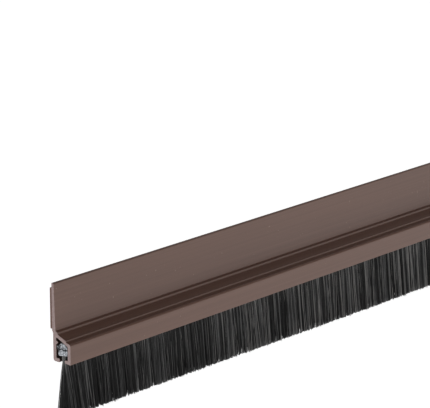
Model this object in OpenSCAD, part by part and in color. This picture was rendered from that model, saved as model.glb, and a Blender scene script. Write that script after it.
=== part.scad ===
// Brush door sweep: a PVC carrier taped to a door's face, with a brush strip in its channel.
// X runs along the door, +Y points at the door's face and +Z is up.
// The origin is the centre of the tape's back face, which lies on the door.
// Sections are drawn as [depth, height]: depth grows away from the door, from the
// back of the carrier's flange, and height grows upwards from the carrier's foot.

/* [Sweep] */
// Length along the door
sweep_length = 1000; // [600:10:1200]

/* [Carrier] */
// Height of the carrier up the door's face
carrier_height = 37; // [34:0.5:45]
// Depth from the back of the flange to the front wall's outer face
carrier_depth = 11.5; // [11.4:0.1:12.5]
// Thickness of the flange at its top edge
flange_edge = 1.4; // [1.2:0.1:1.8]
// Thickness of the flange where the roof leaves it
flange_root = 2.1; // [2:0.1:2.4]
// Height of the crease between the flange and the roof
crease_height = 14.5; // [14.4:0.1:15.5]
// Height at which the roof would meet the front wall in a sharp corner
nose_height = 9.8; // [9.7:0.1:10.5]
// Radius of the nose between the roof and the front wall
nose_radius = 1.2; // [0.8:0.1:2]
// Drop of each of the two low steps that run along the roof
roof_step = 0.4; // [0.1:0.05:0.5]
// Thickness of the front wall
front_wall = 1.8; // [1.4:0.1:1.8]
// Thickness of the rear wall
rear_wall = 1.9; // [1.5:0.05:1.95]
// Thickness of the two lips under the channel
lip = 1.85; // [1.4:0.05:2]
// Width of the slot between the lips
slot_width = 3.3; // [3.1:0.1:3.5]

/* [Adhesive tape] */
// Width of the tape up the flange
tape_width = 20; // [12:0.5:21]
// Thickness of the tape
tape_thickness = 1; // [0.5:0.1:1.5]
// Distance from the flange's top edge down to the tape
tape_drop = 2.2; // [1:0.1:3]

/* [Brush strip] */
// Width of the folded steel backing
backing_width = 5.5; // [5.2:0.1:5.6]
// Height of the folded steel backing
backing_height = 5.7; // [5.5:0.1:5.8]
// Thickness of the backing's steel
steel = 0.9; // [0.6:0.05:1]
// Length at each end over which the backing is mashed shut where it was cut
cut_end = 1; // [0.6:0.1:3]
// Diameter of the wire that the bristles are folded over
wire_diameter = 1.5; // [1.2:0.1:1.6]
// Width of the bundle of bristles where it leaves the carrier
stem_width = 1.8; // [1.4:0.1:1.9]
// Length of the bristles below the carrier's foot
bristle_length = 25.5; // [10:0.5:40]
// Width of the bristles at their tips
tip_width = 6.4; // [3:0.1:8]

/* [Hidden] */
run_count = 20;
run_gap = 0.3;
fit_gap = 0.05;
bend_gap = 0.25;
corner_steps = 6;

pvc_brown = [0.43, 0.36, 0.34];
tape_brown = [0.45, 0.35, 0.32];
steel_grey = [0.68, 0.69, 0.7];
wire_grey = [0.55, 0.56, 0.57];
nylon_black = [0.1, 0.1, 0.1];

// Places in the section
tape_centre = carrier_height - tape_drop - tape_width / 2;
front_inner = carrier_depth - front_wall;
crease = [flange_root, crease_height];
roof_slope = unit([carrier_depth, nose_height + 0.3] - crease);
back_step = 0.55;
step_foot = 13.2;
step_top = 14.2;
rear_inner = back_step + rear_wall;
brush_depth = 6.6;
slot_rear = 4.6;
slot_front = slot_rear + slot_width;
lip_bevel = 0.35;
ceiling_rear = 11.8;
ceiling_front = 8.5;

// The nib on the rear wall, which the backing's wing sits under
nib_top = 10.1;
nib_tip = [3.9, 9.5];
nib_foot = 8.2;

// The backing, its mouth and its rolled wing
backing_foot = 3.6;
backing_top = backing_foot + backing_height;
mouth_width = 2.3;
wing_reach = 1;
wing_foot = 6.2;
wing_top = 7.8;
wire_height = backing_top - backing_width / 2;
core_length = sweep_length - 2 * cut_end;

// The runs of bristles, which bend about the middle of the slot
run_pitch = sweep_length / run_count;
run_names = [for (i = [1 : run_count]) str("bristles_", i < 10 ? "0" : "", i)];

function unit(v) = v / norm(v);
function heading(v) = atan2(v.y, v.x);

// An arc of radius r that rounds the corner b between its neighbours a and c
function round_corner(a, b, c, r) =
    let (
        u = unit(a - b),
        v = unit(c - b),
        half_angle = acos(u * v) / 2,
        centre = b + unit(u + v) * r / sin(half_angle),
        start = heading(b + u * r / tan(half_angle) - centre),
        turn = (cross(u, v) > 0 ? -1 : 1) * (180 - 2 * half_angle)
    )
    [for (i = [0 : corner_steps])
        let (angle = start + turn * i / corner_steps) centre + r * [cos(angle), sin(angle)]];

// An outline from its corners, each [depth, height, corner radius]
function rounded(corners) =
    let (n = len(corners), p = [for (c = corners) [c.x, c.y]])
    [for (i = [0 : n - 1])
        each round_corner(p[(i + n - 1) % n], p[i], p[(i + 1) % n], corners[i].z)];

// A corner of the roof, so far down it from the crease and so far proud of its slope
function on_roof(along, proud) =
    let (p = crease + along * roof_slope + proud * [-roof_slope.y, roof_slope.x])
    [p.x, p.y, 0.15];

// Extrudes a [depth, height] section along the door, centred on x
module along_door(length, x = 0)
    translate([x, -tape_thickness, -tape_centre])
        rotate([90, 0, 90])
            linear_extrude(length, center = true)
                mirror([1, 0]) children();

module carrier()
    color(pvc_brown) along_door(sweep_length)
        polygon(rounded([
            [back_step, 0, 1.2],
            [back_step, step_foot, 0.4],
            [0, step_top, 0.4],
            [0, carrier_height, 0.3],
            [flange_edge, carrier_height, 0.6],
            [crease.x, crease.y, 0.15],
            on_roof(0.85, roof_step / 2),
            on_roof(1.45, -roof_step / 2),
            on_roof(7.2, roof_step / 2),
            on_roof(7.6, -roof_step / 2),
            [carrier_depth, nose_height, nose_radius],
            [carrier_depth, 0, 0.4],
            [slot_front, lip_bevel, 0.4],
            [slot_front, lip, 0.4],
            [front_inner, lip, 0.3],
            [front_inner, ceiling_front, 0.5],
            [rear_inner, ceiling_rear, 0.5],
            [rear_inner, nib_top, 0.2],
            [nib_tip.x, nib_tip.y, 0.25],
            [rear_inner, nib_foot, 0.2],
            [rear_inner, lip, 0.3],
            [slot_rear, lip, 0.5],
            [slot_rear, 0, 0.5]
        ]));

module adhesive_tape()
    color(tape_brown) along_door(sweep_length)
        translate([-tape_thickness, tape_centre - tape_width / 2])
            square([tape_thickness, tape_width]);

// A steel strip folded into a channel round the bristles, with its feet turned in to grip
// them and its cut ends mashed shut
module brush_backing() {
    outer = backing_width / 2;
    inner = outer - steel;
    mouth = mouth_width / 2;
    color(steel_grey) difference() {
        along_door(sweep_length)
            translate([brush_depth, 0])
                polygon(rounded([
                    [-outer, backing_foot, 0.3],
                    [-outer, wing_foot, 0.2],
                    [-outer - wing_reach, wing_foot, 0.6],
                    [-outer - wing_reach, wing_top, 0.6],
                    [-outer, wing_top, 0.1],
                    [-outer, backing_top, outer - 0.05],
                    [outer, backing_top, outer - 0.05],
                    [outer, backing_foot, 0.3]
                ]));
        along_door(core_length)
            translate([brush_depth, 0])
                polygon(rounded([
                    [-mouth, backing_foot - 1, 0.1],
                    [-mouth, backing_foot + steel, 0.2],
                    [-inner, backing_foot + steel, 0.2],
                    [-inner, backing_top - steel, inner - 0.05],
                    [inner, backing_top - steel, inner - 0.05],
                    [inner, backing_foot + steel, 0.2],
                    [mouth, backing_foot + steel, 0.2],
                    [mouth, backing_foot - 1, 0.1]
                ]));
    }
}

module core_wire()
    color(wire_grey) along_door(core_length - 2 * fit_gap)
        translate([brush_depth, wire_height])
            circle(d = wire_diameter, $fn = 32);

// The bristles folded over the wire inside the backing, and their stem down into the slot
module bristle_roots() {
    inner = backing_width / 2 - steel - fit_gap;
    mouth = mouth_width / 2 - fit_gap;
    stem = stem_width / 2;
    stem_foot = stem + bend_gap;
    color(nylon_black) along_door(core_length - 2 * fit_gap)
        translate([brush_depth, 0])
            difference() {
                polygon(rounded([
                    [-stem, stem_foot, 0.1],
                    [-mouth, backing_foot, 0.1],
                    [-mouth, backing_foot + steel + fit_gap, 0.1],
                    [-inner, backing_foot + steel + fit_gap, 0.2],
                    [-inner, backing_top - steel - fit_gap, inner - 0.05],
                    [inner, backing_top - steel - fit_gap, inner - 0.05],
                    [inner, backing_foot + steel + fit_gap, 0.2],
                    [mouth, backing_foot + steel + fit_gap, 0.1],
                    [mouth, backing_foot, 0.1],
                    [stem, stem_foot, 0.1]
                ]));
                translate([0, wire_height]) circle(d = wire_diameter + 2 * fit_gap, $fn = 32);
            }
}

// One run of free bristles, round where it turns in the slot and spreading towards its tips
module bristles(i) {
    length = run_pitch - run_gap;
    x = (i + 0.5) * run_pitch - sweep_length / 2;
    neck = 0.4 * stem_width;
    tip = tip_width / 2;
    color(nylon_black) union() {
        along_door(length, x)
            translate([brush_depth, 0]) circle(d = stem_width, $fn = 32);
        along_door(length, x)
            translate([brush_depth, 0])
                polygon([[-neck, 0], [neck, 0], [tip, -bristle_length], [-tip, -bristle_length]]);
    }
}

carrier();
adhesive_tape();
brush_backing();
core_wire();
bristle_roots();
for (i = [0 : run_count - 1])
    bristles(i);
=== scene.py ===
"""The looks of a brush door sweep: a PVC carrier taped to a door, with a brush strip in its channel."""
import math

import bpy
import numpy as np
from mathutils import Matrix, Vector


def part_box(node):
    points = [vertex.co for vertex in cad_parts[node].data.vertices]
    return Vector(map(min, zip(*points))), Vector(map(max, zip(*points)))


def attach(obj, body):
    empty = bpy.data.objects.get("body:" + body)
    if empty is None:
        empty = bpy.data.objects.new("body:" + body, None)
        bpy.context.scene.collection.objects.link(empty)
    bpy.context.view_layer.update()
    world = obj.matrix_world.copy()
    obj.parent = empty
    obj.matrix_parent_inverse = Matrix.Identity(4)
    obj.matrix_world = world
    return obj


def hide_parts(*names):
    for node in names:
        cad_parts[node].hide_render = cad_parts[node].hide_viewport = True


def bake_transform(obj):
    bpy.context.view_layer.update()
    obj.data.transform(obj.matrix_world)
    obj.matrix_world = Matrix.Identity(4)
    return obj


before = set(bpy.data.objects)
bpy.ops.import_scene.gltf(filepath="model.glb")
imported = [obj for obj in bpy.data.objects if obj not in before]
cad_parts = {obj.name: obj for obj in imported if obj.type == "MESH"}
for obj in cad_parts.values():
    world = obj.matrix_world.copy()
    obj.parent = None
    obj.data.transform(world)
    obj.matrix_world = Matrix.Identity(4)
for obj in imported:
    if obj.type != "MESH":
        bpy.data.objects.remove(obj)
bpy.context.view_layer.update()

MM = 0.001
carrier_low, carrier_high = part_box("carrier")
tape_low, tape_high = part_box("adhesive_tape")

# The frame: X runs along the door, +Y points at the door and +Z is up. A section is drawn
# as [depth, height] in millimetres, from the carrier's back and up from its foot.
HALF = carrier_high.x
BACK = carrier_high.y
FOOT = carrier_low.z
CARRIER_DEPTH = (carrier_high.y - carrier_low.y) / MM
CARRIER_HEIGHT = (carrier_high.z - carrier_low.z) / MM

# The camera, round the stretch of the sweep that it looks at
AIM = Vector((-0.38843, -0.001, 0.02555))
CAMERA_DISTANCE = 1.207
CAMERA_AZIMUTH = -48.54
CAMERA_ELEVATION = 15.7
CAMERA_LENS = 209.9

# The carrier's section
REAR_INNER = 2.45
FRONT_INNER = CARRIER_DEPTH - 1.8
SLOT_REAR = 4.6
SLOT_FRONT = 7.9
LIP = 1.85
CEILING_REAR = 11.8
CEILING_FRONT = 8.5

# The brush strip's section
BRUSH_DEPTH = 6.6
BACKING_HALF = 2.75
BACKING_FOOT = 3.6
BACKING_TOP = 9.3
STEEL = 0.9
MOUTH_HALF = 1.15
CUT_END = 1.0
STEM_HALF = 0.9
STEM_DEPTH = 6.9
TIP_HALF = 3.2

# The bristles: how long they are, how many lie in a millimetre of the brush, and how many more
# fill each cut end
BRISTLE_LENGTH = 25.8
EVEN_PER_MM = 32
LOOSE_PER_MM = 0.9
END_FILAMENTS = 130

# Their tips rise and fall along the sweep: by how much of their length, and the wave's length
# and start in metres
TRIM_RISE = 0.034
TRIM_WAVE = 0.54
TRIM_START = 0.370


def place(x, depth, height):
    """Points in the row frame, in metres, from x in metres and a section's depth and height."""
    x, depth, height = np.broadcast_arrays(x, depth, height)
    return np.stack([x, BACK - depth * MM, FOOT + height * MM], -1)


# ---------------------------------------------------------------- meshes

def unit(v):
    """The vector scaled to a length of 1."""
    return v / np.linalg.norm(v)


def round_corner(a, b, c, radius, steps):
    """An arc that rounds the corner b between its neighbours a and c, and a point beside each
    of its ends that keeps the flats next to it flat."""
    u, v = unit(a - b), unit(c - b)
    half = math.acos(float(u @ v)) / 2
    centre = b + unit(u + v) * radius / math.sin(half)
    first = b + u * radius / math.tan(half)
    last = b + v * radius / math.tan(half)
    start = math.atan2(*(first - centre)[::-1])
    turn = math.pi - 2 * half
    if u[0] * v[1] - u[1] * v[0] > 0:
        turn = -turn
    angles = start + turn * np.linspace(0, 1, steps + 1)
    arc = centre + radius * np.stack([np.cos(angles), np.sin(angles)], -1)
    points = list(arc)
    guard = 0.12
    if np.linalg.norm(a - first) > 4 * guard:
        points.insert(0, first + u * guard)
    if np.linalg.norm(c - last) > 4 * guard:
        points.append(last + v * guard)
    return points


def rounded(corners, steps=8):
    """A closed outline from its corners, each (depth, height, corner radius)."""
    places = [np.array(c[:2], float) for c in corners]
    n = len(corners)
    outline = []
    for i, corner in enumerate(corners):
        outline += round_corner(places[i - 1], places[i], places[(i + 1) % n], corner[2], steps)
    return np.array(outline)


def outward(outline):
    """The outline's unit normals, pointing out of it."""
    ahead = np.roll(outline, -1, 0) - np.roll(outline, 1, 0)
    following = np.roll(outline, -1, 0)
    area = np.sum(outline[:, 0] * following[:, 1] - following[:, 0] * outline[:, 1])
    normal = np.stack([ahead[:, 1], -ahead[:, 0]], -1) * np.sign(area)
    return normal / np.linalg.norm(normal, axis=1)[:, None]


def make_object(name, points, faces, materials, face_material=None, sharp=40):
    """An object from its points and faces, smooth except at edges sharper than sharp degrees."""
    mesh = bpy.data.meshes.new(name)
    mesh.from_pydata(np.asarray(points).tolist(), [], faces)
    for material in materials:
        mesh.materials.append(material)
    if face_material is not None:
        mesh.polygons.foreach_set("material_index", face_material)
    mesh.polygons.foreach_set("use_smooth", [True] * len(mesh.polygons))
    if sharp is not None:
        mesh.set_sharp_from_angle(angle=math.radians(sharp))
    mesh.update()
    obj = bpy.data.objects.new(name, mesh)
    bpy.context.scene.collection.objects.link(obj)
    return obj


def add_values(obj, name, values):
    """Stores a number for each of a mesh's points, which its material reads."""
    attribute = obj.data.attributes.new(name, "FLOAT", "POINT")
    attribute.data.foreach_set("value", np.asarray(values, np.float32))


def loft(rings):
    """Points and faces of a closed shell through rings of equal length, with its two ends capped.
    The rings run along +X or -X, and the faces are turned to point outwards."""
    n, count = len(rings[0]), len(rings)
    points = np.concatenate(rings)
    faces = []
    for r in range(count - 1):
        for i in range(n):
            j = (i + 1) % n
            faces.append((r * n + i, r * n + j, (r + 1) * n + j, (r + 1) * n + i))
    faces.append(tuple(range(n - 1, -1, -1)))
    faces.append(tuple(range((count - 1) * n, count * n)))
    if shell_volume(points, faces) < 0:
        faces = [tuple(reversed(f)) for f in faces]
    return points, faces


def shell_volume(points, faces):
    """Signed volume of a closed shell, positive where its faces point outwards."""
    total = 0.0
    for f in faces:
        a = points[f[0]]
        for k in range(1, len(f) - 1):
            total += float(np.dot(a, np.cross(points[f[k]], points[f[k + 1]])))
    return total / 6


def join_shells(shells):
    """Several shells' points and faces as one list of each."""
    points, faces, start = [], [], 0
    for p, f in shells:
        points.append(p)
        faces += [tuple(i + start for i in face) for face in f]
        start += len(p)
    return np.concatenate(points), faces


# ---------------------------------------------------------------- materials

def shader(name, **values):
    """A new material's node tree and its Principled shader with plain values set on its sockets."""
    material = bpy.data.materials.new(name)
    material.use_nodes = True
    tree = material.node_tree
    principled = tree.nodes["Principled BSDF"]
    for socket, value in values.items():
        principled.inputs[socket.replace("_", " ")].default_value = value
    return material, tree, principled


def node(tree, kind, inputs=None, **settings):
    """A new node with its settings and its inputs, each a value or the output that feeds it."""
    made = tree.nodes.new("ShaderNode" + kind)
    for key, value in settings.items():
        setattr(made, key, value)
    for key, value in (inputs or {}).items():
        if isinstance(value, bpy.types.NodeSocket):
            tree.links.new(value, made.inputs[key])
        else:
            made.inputs[key].default_value = value
    return made


def ramp(tree, fac, stops):
    """A colour ramp from (position, colour) stops."""
    made = node(tree, "ValToRGB", {"Fac": fac})
    elements = made.color_ramp.elements
    while len(elements) < len(stops):
        elements.new(0.5)
    for element, (position, colour) in zip(elements, stops):
        element.position = position
        element.color = colour if len(colour) == 4 else (*colour, 1)
    return made.outputs["Color"]


def grey(value):
    """A neutral colour."""
    return (value, value, value)


def stretched_noise(tree, scale, detail=4.0, roughness=0.55):
    """Noise in the object's own metres, with its own scale along each axis."""
    coordinates = node(tree, "TexCoord").outputs["Object"]
    mapped = node(tree, "Mapping", {"Vector": coordinates, "Scale": scale}).outputs["Vector"]
    return node(tree, "TexNoise", {
        "Vector": mapped, "Scale": 1.0, "Detail": detail, "Roughness": roughness}).outputs["Fac"]


def scaled(tree, colour, factor):
    """A colour multiplied by another."""
    mix = node(tree, "Mix", {"Factor": 1.0, "A": colour, "B": factor},
               data_type="RGBA", blend_type="MULTIPLY")
    return mix.outputs["Result"]


def mixed(tree, factor, a, b):
    """The colour a where the factor is 0 and b where it is 1."""
    return node(tree, "Mix", {"Factor": factor, "A": a, "B": b}, data_type="RGBA").outputs["Result"]


def number(tree, value, low, high):
    """Maps 0..1 onto low..high."""
    return node(tree, "MapRange", {"Value": value, "To Min": low, "To Max": high}).outputs["Result"]


def portion(tree, value, start, end):
    """Where a value lies on the way from start to end, as 0..1."""
    return node(tree, "MapRange", {
        "Value": value, "From Min": start, "From Max": end}).outputs["Result"]


def bump(tree, principled, height, distance, strength):
    """Roughens the surface by a height texture, over a distance in metres."""
    made = node(tree, "Bump", {"Height": height, "Distance": distance, "Strength": strength})
    tree.links.new(made.outputs["Normal"], principled.inputs["Normal"])


def extruded_pvc():
    """Satin brown PVC with fine lines along the extrusion and a few pale specks."""
    material, tree, principled = shader("extruded_pvc", Specular_IOR_Level=0.5)
    lines = stretched_noise(tree, (5, 900, 900), 5, 0.65)
    clouds = stretched_noise(tree, (9, 60, 60), 2, 0.5)
    specks = stretched_noise(tree, (900, 900, 900), 0, 0.5)
    base = ramp(tree, lines, [
        (0.30, (0.151, 0.078, 0.056)), (0.52, (0.169, 0.088, 0.063)), (0.75, (0.188, 0.101, 0.074))])
    base = scaled(tree, base, ramp(tree, clouds, [(0.3, grey(0.95)), (0.7, grey(1.0))]))
    flecks = ramp(tree, specks, [(0.835, grey(0)), (0.87, grey(0.35))])
    base = mixed(tree, flecks, base, (0.42, 0.30, 0.25, 1))
    tree.links.new(base, principled.inputs["Base Color"])
    tree.links.new(number(tree, lines, 0.27, 0.40), principled.inputs["Roughness"])
    bump(tree, principled, lines, 0.03 * MM, 0.5)
    return material


def shaded_channel_pvc():
    """The inside of the channel: duller than the outside, and darker with painted shade."""
    material, tree, principled = shader("shaded_channel_pvc", Specular_IOR_Level=0.2)
    lines = stretched_noise(tree, (5, 700, 700), 4, 0.6)
    # The dark base colour is painted shade for the channel's hollow
    tree.links.new(
        ramp(tree, lines, [(0.3, (0.030, 0.018, 0.014)), (0.7, (0.048, 0.028, 0.022))]),
        principled.inputs["Base Color"])
    tree.links.new(number(tree, lines, 0.6, 0.8), principled.inputs["Roughness"])
    bump(tree, principled, lines, 0.04 * MM, 0.5)
    return material


def sawn_pvc():
    """The carrier's cut ends: paler and dull, with the saw's fine marks across them."""
    material, tree, principled = shader("sawn_pvc", Specular_IOR_Level=0.35)
    marks = stretched_noise(tree, (400, 500, 4200), 3, 0.6)
    blots = stretched_noise(tree, (900, 900, 900), 3, 0.6)
    base = ramp(tree, blots, [
        (0.25, (0.27, 0.195, 0.185)), (0.5, (0.345, 0.255, 0.245)), (0.75, (0.43, 0.33, 0.315))])
    base = scaled(tree, base, ramp(tree, marks, [(0.3, grey(0.86)), (0.65, grey(1.0))]))
    tree.links.new(base, principled.inputs["Base Color"])
    tree.links.new(number(tree, blots, 0.5, 0.75), principled.inputs["Roughness"])
    bump(tree, principled, marks, 0.06 * MM, 0.7)
    return material


def foam_tape():
    """Brown foam with fine cells."""
    material, tree, principled = shader("foam_tape", Specular_IOR_Level=0.2)
    coordinates = node(tree, "TexCoord").outputs["Object"]
    cells = node(tree, "TexVoronoi", {"Vector": coordinates, "Scale": 3500.0}).outputs["Distance"]
    patches = stretched_noise(tree, (60, 200, 200), 3, 0.6)
    base = ramp(tree, patches, [(0.3, (0.155, 0.088, 0.072)), (0.7, (0.200, 0.120, 0.100))])
    base = scaled(tree, base, ramp(tree, cells, [(0.0, grey(0.55)), (0.5, grey(1.0))]))
    tree.links.new(base, principled.inputs["Base Color"])
    tree.links.new(number(tree, cells, 0.75, 0.95), principled.inputs["Roughness"])
    bump(tree, principled, cells, 0.08 * MM, 0.8)
    return material


def galvanised_steel():
    """Zinc-coated strip with a faint spangle and fine rolling lines."""
    material, tree, principled = shader("galvanised_steel", Metallic=1.0)
    coordinates = node(tree, "TexCoord").outputs["Object"]
    spangle = node(tree, "TexVoronoi", {"Vector": coordinates, "Scale": 450.0}).outputs["Color"]
    rolling = stretched_noise(tree, (12, 1400, 1400), 4, 0.6)
    value = node(tree, "RGBToBW", {"Color": spangle}).outputs["Val"]
    base = ramp(tree, value, [(0.2, (0.42, 0.44, 0.46)), (0.8, (0.62, 0.64, 0.66))])
    base = scaled(tree, base, ramp(tree, rolling, [(0.3, grey(0.82)), (0.65, grey(1.0))]))
    tree.links.new(base, principled.inputs["Base Color"])
    tree.links.new(number(tree, value, 0.28, 0.46), principled.inputs["Roughness"])
    bump(tree, principled, rolling, 0.04 * MM, 0.6)
    return material


def sheared_steel():
    """The backing's mashed ends: bright torn zinc and steel, with painted shade in the bumped hollows
    and in the folds that the mesh marks.
    """
    material, tree, principled = shader("sheared_steel", Metallic=0.85)
    shaded_folds = stretched_noise(tree, (700, 700, 700), 4, 0.62)
    scratches = stretched_noise(tree, (2600, 2600, 900), 2, 0.5)
    # The dark end of this ramp is painted shade in the bump's hollows
    base = ramp(tree, shaded_folds, [
        (0.34, (0.05, 0.05, 0.055)), (0.47, (0.34, 0.36, 0.39)), (0.62, (0.72, 0.75, 0.80))])
    base = scaled(tree, base, ramp(tree, scratches, [(0.3, grey(0.75)), (0.6, grey(1.0))]))
    # Painted shade in the folds and over the upper part, from values the mesh carries
    fold_shade = node(tree, "Attribute", attribute_name="fold_shade").outputs["Fac"]
    base = scaled(tree, base, ramp(tree, fold_shade, [(0.2, grey(1.0)), (0.7, grey(0.12))]))
    tree.links.new(base, principled.inputs["Base Color"])
    tree.links.new(number(tree, shaded_folds, 0.55, 0.28), principled.inputs["Roughness"])
    bump(tree, principled, shaded_folds, 0.4 * MM, 0.8)
    return material


def drawn_wire():
    """Drawn steel wire with fine lines along it."""
    material, tree, principled = shader("drawn_wire", Metallic=1.0)
    lines = stretched_noise(tree, (15, 5000, 5000), 3, 0.6)
    tree.links.new(
        ramp(tree, lines, [(0.3, (0.36, 0.37, 0.38)), (0.7, (0.58, 0.59, 0.60))]),
        principled.inputs["Base Color"])
    tree.links.new(number(tree, lines, 0.25, 0.42), principled.inputs["Roughness"])
    return material


def black_nylon():
    """Black nylon filaments, each with its own tone and painted light, which its mesh carries; the
    lightest values are painted highlights.
    """
    material, tree, principled = shader("black_nylon", Specular_IOR_Level=0.2)
    tone_and_painted_light = node(tree, "Attribute", attribute_name="tone_and_painted_light").outputs["Fac"]
    # The light end of this ramp is painted highlight on the filaments
    base = ramp(tree, tone_and_painted_light, [
        (0.0, grey(0.006)), (0.4, grey(0.026)), (0.6, grey(0.07)), (0.8, grey(0.16)),
        (1.0, (0.29, 0.28, 0.27))])
    grain = stretched_noise(tree, (2500, 2500, 120), 2, 0.5)
    base = scaled(tree, base, ramp(tree, grain, [(0.3, grey(0.8)), (0.7, grey(1.0))]))
    tree.links.new(base, principled.inputs["Base Color"])
    tree.links.new(number(tree, tone_and_painted_light, 0.50, 0.34), principled.inputs["Roughness"])
    return material


# ---------------------------------------------------------------- the carrier

def carrier():
    """The extruded carrier, with two low steps along its roof, its corners eased and a small
    break at its sawn ends."""
    outside = [
        (SLOT_REAR, 0, 0.5), (0.55, 0, 1.2), (0.55, 13.2, 0.4), (0, 14.2, 0.4), (0, CARRIER_HEIGHT, 0.3),
        (1.4, CARRIER_HEIGHT, 0.6), (2.1, 14.5, 0.15), (3.4, 13.95, 0.15), (3.6, 13.0, 0.4),
        (8.5, 11.15, 0.15), (8.65, 10.4, 0.35), (CARRIER_DEPTH, 9.8, 1.1), (CARRIER_DEPTH, 0, 0.4),
        (SLOT_FRONT, 0.35, 0.4)]
    inside = [
        (SLOT_FRONT, LIP, 0.4), (FRONT_INNER, LIP, 0.3), (FRONT_INNER, CEILING_FRONT, 0.5),
        (REAR_INNER, CEILING_REAR, 0.5), (REAR_INNER, 10.1, 0.2), (3.9, 9.5, 0.25),
        (REAR_INNER, 8.2, 0.2), (REAR_INNER, LIP, 0.3), (SLOT_REAR, LIP, 0.5)]
    outline = rounded(outside + inside)
    normal = outward(outline)
    saw_break = 0.08
    inset = outline - normal * saw_break
    stations = np.linspace(-HALF + saw_break * MM, HALF - saw_break * MM, 81)
    rings = [place(-HALF, inset[:, 0], inset[:, 1])]
    rings += [place(x, outline[:, 0], outline[:, 1]) for x in stations]
    rings.append(place(HALF, inset[:, 0], inset[:, 1]))
    points, faces = loft(rings)

    # The channel's inside, which gets the painted shade, lies between the lips and a line just over the
    # sloped ceiling
    depth, height = outline.T
    slope = (CEILING_REAR - CEILING_FRONT) / (FRONT_INNER - REAR_INNER)
    ceiling = CEILING_REAR + 0.3 - slope * (depth - REAR_INNER)
    painted_shade_inside = (depth > REAR_INNER - 0.05) & (depth < FRONT_INNER + 0.05)
    painted_shade_inside &= (height > 1.2) & (height < ceiling)
    n = len(outline)
    sides = (len(rings) - 1) * n
    finish = [2 if painted_shade_inside[i % n] else 0 for i in range(sides)] + [1, 1]
    finish[:n] = finish[sides - n:sides] = [1] * n
    return make_object(
        "carrier_extrusion", points, faces, [extruded_pvc(), sawn_pvc(), shaded_channel_pvc()], finish, 30)


def tape():
    """The foam tape behind the flange, its edges bulging a little and not quite straight."""
    bottom = (tape_low.z - FOOT) / MM
    top = (tape_high.z - FOOT) / MM
    phases = np.random.default_rng(5).uniform(0, 2 * math.pi, 4)
    rings = []
    for x in np.linspace(-HALF, HALF, 241):
        wander_top = 0.10 * math.sin(61 * x + phases[0]) + 0.06 * math.sin(173 * x + phases[1])
        wander_bottom = 0.10 * math.sin(53 * x + phases[2]) + 0.06 * math.sin(191 * x + phases[3])
        outline = rounded([
            (-1, bottom, 0.25), (-1, top, 0.25), (0, top - 0.08, 0.3), (0, bottom + 0.08, 0.3)], 4)
        upper = outline[:, 1] > (top + bottom) / 2
        outline[:, 1] += np.where(upper, wander_top - 0.15, wander_bottom + 0.15)
        rings.append(place(x, outline[:, 0], outline[:, 1]))
    points, faces = loft(rings)
    return make_object("foam_tape_strip", points, faces, [foam_tape()])


# ---------------------------------------------------------------- the brush strip

def backing_outline():
    """The folded strip's section with its rolled wing, its feet turned in to grip the brush."""
    inner = BACKING_HALF - STEEL
    mouth = MOUTH_HALF
    outline = rounded([
        (-BACKING_HALF, BACKING_FOOT, 0.3), (-BACKING_HALF, 6.2, 0.2),
        (-BACKING_HALF - 1, 6.2, 0.6), (-BACKING_HALF - 1, 7.8, 0.6), (-BACKING_HALF, 7.8, 0.1),
        (-BACKING_HALF, BACKING_TOP, BACKING_HALF - 0.05),
        (BACKING_HALF, BACKING_TOP, BACKING_HALF - 0.05), (BACKING_HALF, BACKING_FOOT, 0.3),
        (mouth, BACKING_FOOT, 0.2), (mouth, BACKING_FOOT + STEEL, 0.2),
        (inner, BACKING_FOOT + STEEL, 0.2), (inner, BACKING_TOP - STEEL, inner - 0.05),
        (-inner, BACKING_TOP - STEEL, inner - 0.05), (-inner, BACKING_FOOT + STEEL, 0.2),
        (-mouth, BACKING_FOOT + STEEL, 0.2), (-mouth, BACKING_FOOT, 0.2)], 5)
    return outline + [BRUSH_DEPTH, 0]


def pillow(depth, height, centre, size):
    """A soft bulge of height 1 about a centre in the section."""
    return np.exp(-((depth - centre[0]) / size[0]) ** 2 - ((height - centre[1]) / size[1]) ** 2)


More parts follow.
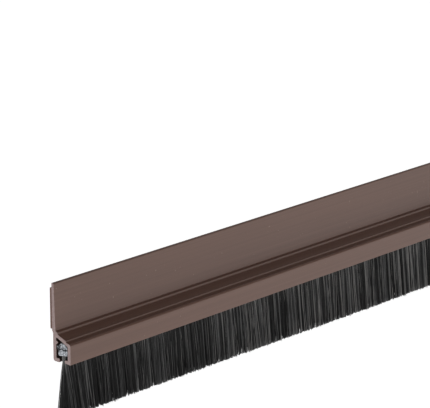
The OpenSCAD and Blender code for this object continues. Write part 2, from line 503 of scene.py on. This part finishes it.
def mashed_end(side, rng):
    """One end of the backing where the cut mashed it shut: a dome and a wing over a squared lump, with
    torn folds between them. Returns its points, its faces and the painted shade each point gets in the
    folds and on the upper part."""
    outline = rounded([
        (3.6, 2.9, 0.7), (3.5, 6.1, 0.25), (2.1, 6.1, 0.6), (2.35, 7.7, 0.6), (4.1, 7.6, 0.15),
        (4.1, 9.35, 1.8), (8.3, 9.3, 1.8), (9.0, 7.0, 0.5), (9.3, 6.2, 0.3), (9.3, 3.9, 0.9)], 12)
    middle = np.array([6.5, 6.4])
    # How far in from the end each ring lies, and how far it shrinks towards the middle
    profile = [(1.3, 0.985), (0.9, 1.0), (0.5, 1.0), (0.2, 0.985), (0.05, 0.95)]
    profile += [(0, shrink) for shrink in np.linspace(0.91, 0.04, 22)]
    phase = rng.uniform(0, 2 * math.pi, 3)
    rings, shaded_folds = [], []
    for depth_in, shrink in profile:
        ring = middle + (outline - middle) * shrink
        depth, height = ring[:, 0], ring[:, 1]
        wander = 0.22 * np.sin(2.4 * depth + phase[0])
        # Painted shade: darker along the seam, round the wing's collar, in the dent and over the whole
        # upper part; the folds are also pressed in
        seam = np.exp(-((height - 6.35 - wander) / 0.26) ** 2)
        collar = np.exp(-((np.hypot(depth - 2.9, height - 6.9) - 1.15) / 0.3) ** 2) * (depth < 4.5)
        dent = 0.9 * pillow(depth, height, (5.0, 5.6), (0.8, 0.3))
        fold_shade = np.clip(seam * (depth < 8.6) + 1.2 * collar + dent + 0.3 * (height > 6.8), 0, 1)
        proud = (0.35 * pillow(depth, height, (6.3, 8.2), (2.4, 1.3))
                 + 0.55 * pillow(depth, height, (6.3, 4.6), (2.8, 1.3)) - 0.45 * fold_shade
                 + 0.08 * np.sin(5.3 * depth - 3.9 * height + phase[1])
                 + 0.05 * np.sin(9.7 * height + 4.1 * depth + phase[2]))
        face = max(0.0, 1 - depth_in / 0.5)
        x = side * (HALF - (depth_in + face * (0.3 - proud)) * MM)
        rings.append(place(x, depth, height))
        shaded_folds.append(fold_shade * face)
    return *loft(rings), np.concatenate(shaded_folds)


def backing():
    """The steel backing, and its two mashed ends."""
    outline = backing_outline()
    end = HALF - CUT_END * MM
    strip = loft([place(x, outline[:, 0], outline[:, 1]) for x in np.linspace(-end, end, 61)])
    rng = np.random.default_rng(11)
    ends = [mashed_end(side, rng) for side in (-1, 1)]
    points, faces = join_shells([strip] + [mashed[:2] for mashed in ends])
    torn = [0] * len(strip[1]) + [1] * (len(faces) - len(strip[1]))
    # The painted shade of the mashed ends' folds, none on the straight strip
    shaded_folds = [np.zeros(len(strip[0]))] + [mashed[2] for mashed in ends]
    made = make_object("backing_strip", points, faces, [galvanised_steel(), sheared_steel()], torn)
    add_values(made, "fold_shade", np.concatenate(shaded_folds))
    return made


def bristle_core(nylon):
    """The clamped middle of the bristles: a fluted bundle folded over the core wire."""
    inner = BACKING_HALF - STEEL - 0.08
    mouth = MOUTH_HALF - 0.1
    stem = STEM_HALF - 0.25
    ledge = BACKING_FOOT + STEEL + 0.1
    crown = BACKING_TOP - STEEL - 0.08
    outline = rounded([
        (-stem, 1.3, 0.2), (-mouth, BACKING_FOOT + 0.3, 0.1), (-mouth, ledge, 0.1),
        (-inner, ledge, 0.2), (-inner, crown, inner - 0.05), (inner, crown, inner - 0.05),
        (inner, ledge, 0.2), (mouth, ledge, 0.1), (mouth, BACKING_FOOT + 0.3, 0.1),
        (stem, 1.3, 0.2)], 4)
    outline += [BRUSH_DEPTH, 0]
    inward = -outward(outline)
    end = HALF - (CUT_END + 0.05) * MM
    rings = []
    for i, x in enumerate(np.linspace(-end, end, 601)):
        flute = 0.0 if i % 2 else 0.12
        ring = outline + inward * flute
        rings.append(place(x, ring[:, 0], ring[:, 1]))
    points, faces = loft(rings)
    core = make_object("bristle_core", points, faces, [nylon], sharp=None)
    add_values(core, "tone_and_painted_light", np.full(len(points), 0.3))
    return core


# The heights that each filament runs through
FILAMENT_HEIGHTS = np.array([4.4, 2.4, 0.6, -1.5, -6.0, -12.0, -18.0, -23.0, -BRISTLE_LENGTH])


def even_filaments(rng, x_low, x_high):
    """The body of the bundle: dark filaments that hang nearly straight, most of them near its
    front and its back. Each gets its place along and across, its lean, its spread, how much
    longer than the rest it is, and its shade."""
    count = int(EVEN_PER_MM * (x_high - x_low) / MM)
    x = rng.uniform(x_low, x_high, count)
    across = 0.97 * np.sin(rng.uniform(-1, 1, count) * math.pi / 2)
    # The cut ends show the bundle's whole thickness, so they are filled evenly
    if x_high > HALF - MM or x_low < MM - HALF:
        side = 1 if x_high > HALF - MM else -1
        x = np.concatenate([x, side * (HALF - rng.uniform(0.2, 1.3, END_FILAMENTS) * MM)])
        across = np.concatenate([across, rng.uniform(-0.97, 0.97, END_FILAMENTS)])
    count = len(x)
    nothing = np.zeros(count)
    return x, across, rng.normal(0, 0.014, count), nothing, nothing, rng.beta(1.6, 4.0, count) * 0.7


def strands(rng, x_low, x_high):
    """The strands that lie on the bundle's front and back: each is a few filaments side by side with one
    length and one tone, the lighter tones being painted highlights; they lean the same way and open or
    close towards their tips."""
    parts = []
    for side in (-1, 1):
        place_x = x_low
        while place_x < x_high:
            width = rng.uniform(0.12, 0.5) * MM
            count = int(2 + width / MM * 12)
            middle = place_x + width / 2
            x = middle + rng.uniform(-0.5, 0.5, count) * width
            lean = np.full(count, rng.normal(0, 0.019)) + rng.normal(0, 0.003, count)
            lift = rng.uniform(1.0, 1.04)
            # The lighter choices are painted highlights on the strand
            tone_and_painted_light = rng.choice([0.1, 0.35, 0.56, 0.7, 0.86], p=[0.40, 0.22, 0.18, 0.14, 0.06])
            parts.append((
                x, np.full(count, side * lift), lean, rng.uniform(-0.5, 0.8) * (x - middle) / MM,
                np.full(count, rng.normal(0, 0.22)), tone_and_painted_light + rng.normal(0, 0.04, count)))
            place_x += width + rng.uniform(0.0, 0.3) * MM
    return [np.concatenate(values) for values in zip(*parts)]


def loose_filaments(rng, x_low, x_high):
    """Single filaments painted light as thin highlights, which lie across the strands, front and back.
    """
    count = int(LOOSE_PER_MM * (x_high - x_low) / MM)
    side = rng.choice([-1.06, 1.06], count)
    nothing = np.zeros(count)
    return (rng.uniform(x_low, x_high, count), side, rng.normal(0, 0.045, count), nothing, nothing,
            rng.uniform(0.8, 1.0, count))


def bristle_run(number_of_run, x_low, x_high, nylon):
    """One run of loose filaments, from inside the backing's mouth to their trimmed tips."""
    rng = np.random.default_rng(100 + number_of_run)
    root_x, across, lean_x, spread, longer, tone_and_painted_light = [np.concatenate(values) for values in zip(
        even_filaments(rng, x_low, x_high), strands(rng, x_low, x_high),
        loose_filaments(rng, x_low, x_high))]
    count = len(root_x)
    on_top = np.where(np.abs(across) > 0.99, np.sign(across) * rng.uniform(0.15, 0.35, count), 0)
    bow_x = rng.normal(0, 0.30, count)
    lean_depth = rng.normal(0, 0.008, count)
    bow_depth = rng.normal(0, 0.15, count)
    strays = rng.random(count) < 0.004
    lean_x += np.where(strays, rng.normal(0, 0.08, count), 0)
    trim = 1 + TRIM_RISE * np.sin(2 * math.pi * (root_x + TRIM_START) / TRIM_WAVE)
    length = BRISTLE_LENGTH * trim + longer + rng.normal(0, 0.10, count)
    radius = rng.uniform(0.10, 0.14, count)

    # At the sweep's own ends the filaments fan out past the cut, and the front ones lean back in
    end_gap = (HALF - np.abs(root_x)) / MM
    fan = np.exp(-end_gap / 4.0) * np.sign(root_x)
    lean_x -= 0.12 * np.exp(-end_gap / 14) * np.sign(root_x) * np.clip(across, 0, 1)
    root_x = np.clip(root_x, -HALF + 0.3 * MM, HALF - 0.3 * MM)

    heights = FILAMENT_HEIGHTS[None, :] * np.where(
        FILAMENT_HEIGHTS < 0, length[:, None] / BRISTLE_LENGTH, 1)
    down = np.clip(-heights, 0, None)
    share = down / BRISTLE_LENGTH
    x = (root_x[:, None]
         + (lean_x[:, None] * down + bow_x[:, None] * share * (1 - share)
            + (0.8 * fan + spread)[:, None] * share) * MM)

    # The bundle is narrowest in the slot and opens towards its tips, a little less at a cut end
    neck = np.interp(FILAMENT_HEIGHTS, [-1.5, 0.6, 4.4], [0.0, -0.06, 0.12])
    flare = (TIP_HALF - STEM_HALF) * (1 - 0.15 * np.exp(-end_gap / 6) * (across < 0))
    half_width = STEM_HALF - 0.12 + neck[None, :] + flare[:, None] * share
    depth = (STEM_DEPTH + across[:, None] * half_width
             + lean_depth[:, None] * down + bow_depth[:, None] * share * (1 - share)
             + on_top[:, None] * np.clip(down / 3, 0, 1))
    centre = place(x, depth, heights)

    # The filaments' tone and painted light grow lighter away from the cut ends, the painted light
    # wanders along each of them, and the ones next to a cut get painted light up high, a few of them all
    # the way down
    phase = rng.uniform(0, 2 * math.pi, count)[:, None]
    far = np.interp(end_gap, [60, 140], [0.0, 1.0])
    tone_and_painted_light = tone_and_painted_light + far * (0.04 + 0.33 * tone_and_painted_light)
    tone_and_painted_light = tone_and_painted_light[:, None] * (0.88 + 0.12 * np.sin(7 * share + phase))
    # Painted light on the filaments at the cut ends
    end_painted_light = np.interp(-heights, [-1.0, 4.0], [1.0, 0.15])
    end_painted_light[rng.random(count) < 0.07] = 1.0
    end_painted_light *= np.clip(1.4 - end_gap, 0, 1)[:, None]
    tone_and_painted_light = np.clip(tone_and_painted_light + end_painted_light * rng.uniform(0.4, 0.85, count)[:, None], 0, 1)

    # Each filament is a closed three-sided prism that thins a little to its tip
    rings = len(FILAMENT_HEIGHTS)
    spin = rng.uniform(0, 2 * math.pi, count)
    angles = spin[:, None] + np.arange(3) * 2 * math.pi / 3
    taper = np.linspace(1, 0.8, rings)
    offset = np.zeros((count, rings, 3, 3))
    size = radius[:, None, None] * taper[None, :, None] * MM
    offset[..., 0] = size * np.cos(angles)[:, None, :]
    offset[..., 1] = size * np.sin(angles)[:, None, :]
    points = (centre[:, :, None, :] + offset).reshape(-1, 3)

    pattern = []
    for r in range(rings - 1):
        for i in range(3):
            j = (i + 1) % 3
            pattern.append((r * 3 + i, (r + 1) * 3 + i, (r + 1) * 3 + j, r * 3 + j))
    caps = [(0, 1, 2), ((rings - 1) * 3 + 2, (rings - 1) * 3 + 1, (rings - 1) * 3)]
    stride = rings * 3
    faces = []
    for k in range(count):
        base = k * stride
        faces += [tuple(base + v for v in f) for f in pattern]
        faces += [tuple(base + v for v in f) for f in caps]
    run = make_object(f"bristle_run_{number_of_run:02d}", points, faces, [nylon], sharp=None)
    add_values(run, "tone_and_painted_light", np.repeat(tone_and_painted_light.ravel(), 3))
    return run


# ---------------------------------------------------------------- light, floor and camera

def floor():
    """A plain white floor, well below the sweep, that glows like a light table."""
    material, tree, principled = shader(
        "floor_white", Base_Color=(0.9, 0.9, 0.9, 1), Roughness=0.9,
        Emission_Color=(1, 1, 1, 1), Emission_Strength=0.8)
    reach, height = 30.0, FOOT - 0.25
    corners = [(x * reach, y * reach, height) for x, y in ((-1, -1), (1, -1), (1, 1), (-1, 1))]
    return make_object("floor", corners, [(0, 1, 2, 3)], [material], sharp=None)


def studio():
    """A soft surround: white below the horizon and dim above it, with a strip light high on the
    right and a bright stretch up the left and behind the door's plane."""
    world = bpy.data.worlds.new("studio")
    bpy.context.scene.world = world
    world.use_nodes = True
    tree = world.node_tree
    direction = node(tree, "TexCoord").outputs["Generated"]
    axes = node(tree, "SeparateXYZ", {"Vector": direction})
    height = portion(tree, axes.outputs["Z"], -1.0, 1.0)
    front = ramp(tree, height, [
        (0.515, grey(1.0)), (0.545, grey(0.10)), (0.77, grey(0.11)), (1.0, grey(0.15))])
    strip = ramp(tree, height, [
        (0.515, grey(1.0)), (0.545, grey(0.10)), (0.76, grey(0.05)), (0.79, (0.85, 0.86, 0.88)),
        (0.87, (0.85, 0.86, 0.88)), (0.90, grey(0.11)), (1.0, grey(0.15))])
    sides = ramp(tree, height, [
        (0.53, grey(1.0)), (0.66, grey(0.75)), (0.80, grey(0.5)), (0.92, grey(0.05))])
    # The bright sides: the left, and behind the door's plane
    left = portion(tree, axes.outputs["X"], -0.15, -0.55)
    behind = portion(tree, axes.outputs["Y"], 0.35, 0.6)
    both = node(tree, "Math", {0: left, 1: behind}, operation="MAXIMUM").outputs["Value"]
    # The strip light hangs over the sweep, between its front and its back
    across = portion(tree, axes.outputs["Y"], -0.5, 0.5)
    above = ramp(tree, across, [
        (0.36, grey(0.0)), (0.48, grey(1.0)), (0.70, grey(1.0)), (0.80, grey(0.0))])
    background = tree.nodes["Background"]
    tree.links.new(
        mixed(tree, both, mixed(tree, above, front, strip), sides), background.inputs["Color"])
    background.inputs["Strength"].default_value = 1.0


def camera():
    """The camera, which looks at AIM from its azimuth, elevation and distance."""
    azimuth, elevation = math.radians(CAMERA_AZIMUTH), math.radians(CAMERA_ELEVATION)
    back = Vector((
        math.sin(azimuth) * math.cos(elevation), -math.cos(azimuth) * math.cos(elevation),
        math.sin(elevation)))
    data = bpy.data.cameras.new("camera")
    data.lens = CAMERA_LENS
    data.sensor_width = 36
    data.clip_start = 0.05
    data.clip_end = 100
    made = bpy.data.objects.new("camera", data)
    bpy.context.scene.collection.objects.link(made)
    made.location = AIM + back * CAMERA_DISTANCE
    made.rotation_mode = "QUATERNION"
    made.rotation_quaternion = (-back).to_track_quat("-Z", "Y")
    bpy.context.scene.camera = made


# ---------------------------------------------------------------- the whole

def fit(piece, body, node_name):
    """The piece rides on a CAD body and stands for a node, whose own mesh is hidden."""
    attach(piece, body)
    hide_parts(node_name)


bpy.context.scene.view_settings.view_transform = "Standard"
camera()
studio()
floor()
nylon = black_nylon()

fit(carrier(), "carrier", "carrier")
fit(tape(), "carrier", "adhesive_tape")
fit(backing(), "brush_strip", "brush_backing")
fit(bristle_core(nylon), "brush_strip", "bristle_roots")
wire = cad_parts["core_wire"]
wire.data.materials.clear()
wire.data.materials.append(drawn_wire())

# Two pivot points, in the middle of the slot and 8 mm below the carrier, which nothing below uses
pivot_start = place(0.0, BRUSH_DEPTH, 0.5).tolist()
pivot_end = place(0.0, BRUSH_DEPTH, -8.0).tolist()
runs = sorted(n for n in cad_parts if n.startswith("bristles_"))
half_gap = 0.15 * MM
for i, name in enumerate(runs):
    low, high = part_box(name)
    run = bristle_run(i + 1, max(low.x - half_gap, -HALF), min(high.x + half_gap, HALF), nylon)
    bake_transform(run)
    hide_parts(name)
